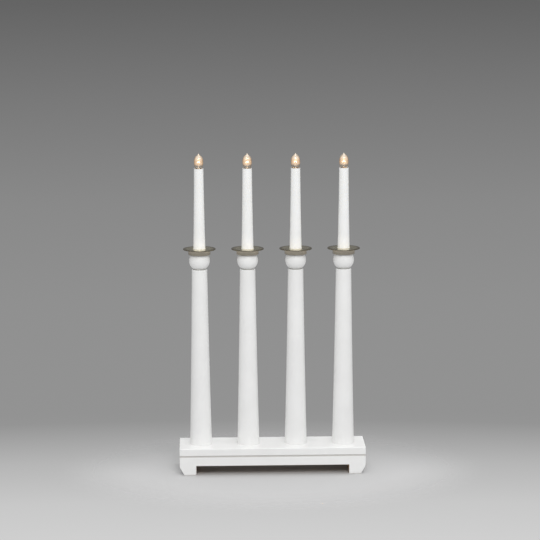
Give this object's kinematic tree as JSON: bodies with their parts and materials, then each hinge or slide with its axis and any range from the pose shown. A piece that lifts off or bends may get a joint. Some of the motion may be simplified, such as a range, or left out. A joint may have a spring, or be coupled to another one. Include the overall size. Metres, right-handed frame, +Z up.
{
  "type": "advent candle holder",
  "caption": "Electric advent candlestick: a row of turned columns on a low footed base, each with a knob, a loose drip tray and a candle sleeve with a screw-in lamp.",
  "frame": {"origin": "middle of the base's footprint, on the surface that the feet stand on", "axes": "+X along the row of candles, +Y towards the back, where the cord inlet is, +Z up"},
  "size_m": [0.3, 0.074, 0.5163],
  "materials": {
    "painted_wood": "white satin paint",
    "hardboard": "raw hardboard",
    "tray_metal": "dull polished",
    "skirt_metal": "dull polished",
    "candle_plastic": "satin",
    "holder_plastic": "matt",
    "steel": "zinc plated",
    "contact_brass": "bright",
    "contact_plug": "glazed black insulator",
    "lamp_cap_metal": "nickel plated",
    "lamp_glass": "clear, warm tint",
    "filament": "drawn wire",
    "lead_insulation": "matt",
    "connector_plastic": "matt"
  },
  "bodies": {
    "candlestick": {"top_board": "painted_wood", "front_rail": "painted_wood", "back_rail": "painted_wood", "end_blocks": "painted_wood", "channel_cover": "hardboard", "board_screws": "steel", "tube_nuts": "steel", "tube_washers": "steel", "contact_springs": "contact_brass", "leads": "lead_insulation", "butt_connectors": "connector_plastic", "inlet_bush": "holder_plastic", "column_1": "painted_wood", "column_2": "painted_wood", "column_3": "painted_wood", "column_4": "painted_wood", "knob_1": "painted_wood", "knob_2": "painted_wood", "knob_3": "painted_wood", "knob_4": "painted_wood", "lamp_tube_1": "steel", "lamp_tube_2": "steel", "lamp_tube_3": "steel", "lamp_tube_4": "steel", "candle_sleeve_1": "candle_plastic", "candle_sleeve_2": "candle_plastic", "candle_sleeve_3": "candle_plastic", "candle_sleeve_4": "candle_plastic", "lamp_holder_1": "holder_plastic", "lamp_holder_2": "holder_plastic", "lamp_holder_3": "holder_plastic", "lamp_holder_4": "holder_plastic", "contact_shell_1": "contact_brass", "contact_shell_2": "contact_brass", "contact_shell_3": "contact_brass", "contact_shell_4": "contact_brass"},
    "tray_1": {"drip_tray_1": "tray_metal", "tray_skirt_1": "skirt_metal"},
    "lamp_base_1": {"lamp_contact_1": "contact_plug"},
    "lamp_1": {"lamp_cap_1": "lamp_cap_metal", "lamp_glass_1": "lamp_glass", "lamp_filament_1": "filament"},
    "tray_2": {"drip_tray_2": "tray_metal", "tray_skirt_2": "skirt_metal"},
    "lamp_base_2": {"lamp_contact_2": "contact_plug"},
    "lamp_2": {"lamp_cap_2": "lamp_cap_metal", "lamp_glass_2": "lamp_glass", "lamp_filament_2": "filament"},
    "tray_3": {"drip_tray_3": "tray_metal", "tray_skirt_3": "skirt_metal"},
    "lamp_base_3": {"lamp_contact_3": "contact_plug"},
    "lamp_3": {"lamp_cap_3": "lamp_cap_metal", "lamp_glass_3": "lamp_glass", "lamp_filament_3": "filament"},
    "tray_4": {"drip_tray_4": "tray_metal", "tray_skirt_4": "skirt_metal"},
    "lamp_base_4": {"lamp_contact_4": "contact_plug"},
    "lamp_4": {"lamp_cap_4": "lamp_cap_metal", "lamp_glass_4": "lamp_glass", "lamp_filament_4": "filament"}
  },
  "joints": [
    {"name": "tray_lift_1", "type": "slide", "parent": "candlestick", "child": "tray_1", "axis": [0, 0, 1], "range_m": [0, 0.17]},
    {"name": "lamp_rise_1", "type": "slide", "parent": "candlestick", "child": "lamp_base_1", "axis": [0, 0, 1], "range_m": [0, 0.0091]},
    {"name": "lamp_turn_1", "type": "hinge", "parent": "lamp_base_1", "child": "lamp_1", "pos_m": [-0.1155, 0, 0.4872], "axis": [0, 0, 1], "range_deg": [0, 1800]},
    {"name": "tray_lift_2", "type": "slide", "parent": "candlestick", "child": "tray_2", "axis": [0, 0, 1], "range_m": [0, 0.17]},
    {"name": "lamp_rise_2", "type": "slide", "parent": "candlestick", "child": "lamp_base_2", "axis": [0, 0, 1], "range_m": [0, 0.0091]},
    {"name": "lamp_turn_2", "type": "hinge", "parent": "lamp_base_2", "child": "lamp_2", "pos_m": [-0.0385, 0, 0.4872], "axis": [0, 0, 1], "range_deg": [0, 1800]},
    {"name": "tray_lift_3", "type": "slide", "parent": "candlestick", "child": "tray_3", "axis": [0, 0, 1], "range_m": [0, 0.17]},
    {"name": "lamp_rise_3", "type": "slide", "parent": "candlestick", "child": "lamp_base_3", "axis": [0, 0, 1], "range_m": [0, 0.0091]},
    {"name": "lamp_turn_3", "type": "hinge", "parent": "lamp_base_3", "child": "lamp_3", "pos_m": [0.0385, 0, 0.4872], "axis": [0, 0, 1], "range_deg": [0, 1800]},
    {"name": "tray_lift_4", "type": "slide", "parent": "candlestick", "child": "tray_4", "axis": [0, 0, 1], "range_m": [0, 0.17]},
    {"name": "lamp_rise_4", "type": "slide", "parent": "candlestick", "child": "lamp_base_4", "axis": [0, 0, 1], "range_m": [0, 0.0091]},
    {"name": "lamp_turn_4", "type": "hinge", "parent": "lamp_base_4", "child": "lamp_4", "pos_m": [0.1155, 0, 0.4872], "axis": [0, 0, 1], "range_deg": [0, 1800]}
  ],
  "couplings": [
    {"joint": "lamp_rise_1", "follows": "lamp_turn_1", "m_per_rad": 0.00028875},
    {"joint": "lamp_rise_2", "follows": "lamp_turn_2", "m_per_rad": 0.00028875},
    {"joint": "lamp_rise_3", "follows": "lamp_turn_3", "m_per_rad": 0.00028875},
    {"joint": "lamp_rise_4", "follows": "lamp_turn_4", "m_per_rad": 0.00028875}
  ]
}
